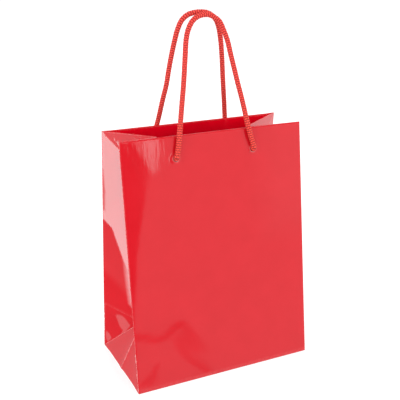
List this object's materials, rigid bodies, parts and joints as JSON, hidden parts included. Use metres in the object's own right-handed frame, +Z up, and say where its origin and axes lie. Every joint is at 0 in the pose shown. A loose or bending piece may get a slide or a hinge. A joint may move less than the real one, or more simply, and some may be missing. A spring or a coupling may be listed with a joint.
{
  "type": "gift bag",
  "caption": "Glossy paper gift bag with folded side gussets, a flat base with a loose board, and rope handles that swing; the mouth opens wider.",
  "frame": {"origin": "on the floor at the middle of the bag's footprint", "axes": "+Z up, +Y from the front wall to the back wall, +X to the right seen from the front"},
  "size_m": [0.18, 0.1, 0.3358],
  "materials": {
    "glossy_paper": "gloss",
    "turned_in_paper": "satin",
    "bare_paper": "matte",
    "cardboard": "matte",
    "rope": "matte"
  },
  "bodies": {
    "base": {"front_bottom_flap": "glossy_paper", "back_bottom_flap": "glossy_paper", "left_bottom_tuck": "glossy_paper", "right_bottom_tuck": "glossy_paper", "base_board": "cardboard", "left_front_gusset": "glossy_paper", "left_front_gusset_hem": "turned_in_paper", "left_front_base_triangle": "glossy_paper", "left_rear_gusset": "glossy_paper", "left_rear_gusset_hem": "turned_in_paper", "left_rear_base_triangle": "glossy_paper", "right_front_gusset": "glossy_paper", "right_front_gusset_hem": "turned_in_paper", "right_front_base_triangle": "glossy_paper", "right_rear_gusset": "glossy_paper", "right_rear_gusset_hem": "turned_in_paper", "right_rear_base_triangle": "glossy_paper"},
    "front_wall": {"front_panel": "glossy_paper", "front_top_board": "cardboard", "front_hem": "turned_in_paper", "front_left_knot": "rope", "front_right_knot": "rope"},
    "back_wall": {"back_panel": "glossy_paper", "back_top_board": "cardboard", "back_hem": "turned_in_paper", "back_left_knot": "rope", "back_right_knot": "rope", "side_seam_tab": "bare_paper"},
    "front_handle": {"front_handle_cord": "rope"},
    "back_handle": {"back_handle_cord": "rope"}
  },
  "joints": [
    {"name": "mouth_opening", "type": "hinge", "parent": "base", "child": "front_wall", "pos_m": [0, -0.05, 0], "axis": [1, 0, 0], "range_deg": [0, 6], "deforming": ["left_front_gusset", "left_front_gusset_hem", "left_rear_gusset", "left_rear_gusset_hem", "right_front_gusset", "right_front_gusset_hem", "right_rear_gusset", "right_rear_gusset_hem"]},
    {"name": "back_wall_opening", "type": "hinge", "parent": "base", "child": "back_wall", "pos_m": [0, 0.05, 0], "axis": [-1, 0, 0], "range_deg": [0, 6]},
    {"name": "front_handle_swing", "type": "hinge", "parent": "front_wall", "child": "front_handle", "pos_m": [0, -0.02877, 0.21196], "axis": [1, 0, 0], "range_deg": [0, 178]},
    {"name": "back_handle_swing", "type": "hinge", "parent": "back_wall", "child": "back_handle", "pos_m": [0, 0.02877, 0.21196], "axis": [-1, 0, 0], "range_deg": [0, 178]}
  ],
  "couplings": [
    {"joint": "back_wall_opening", "follows": "mouth_opening", "ratio": 1}
  ]
}
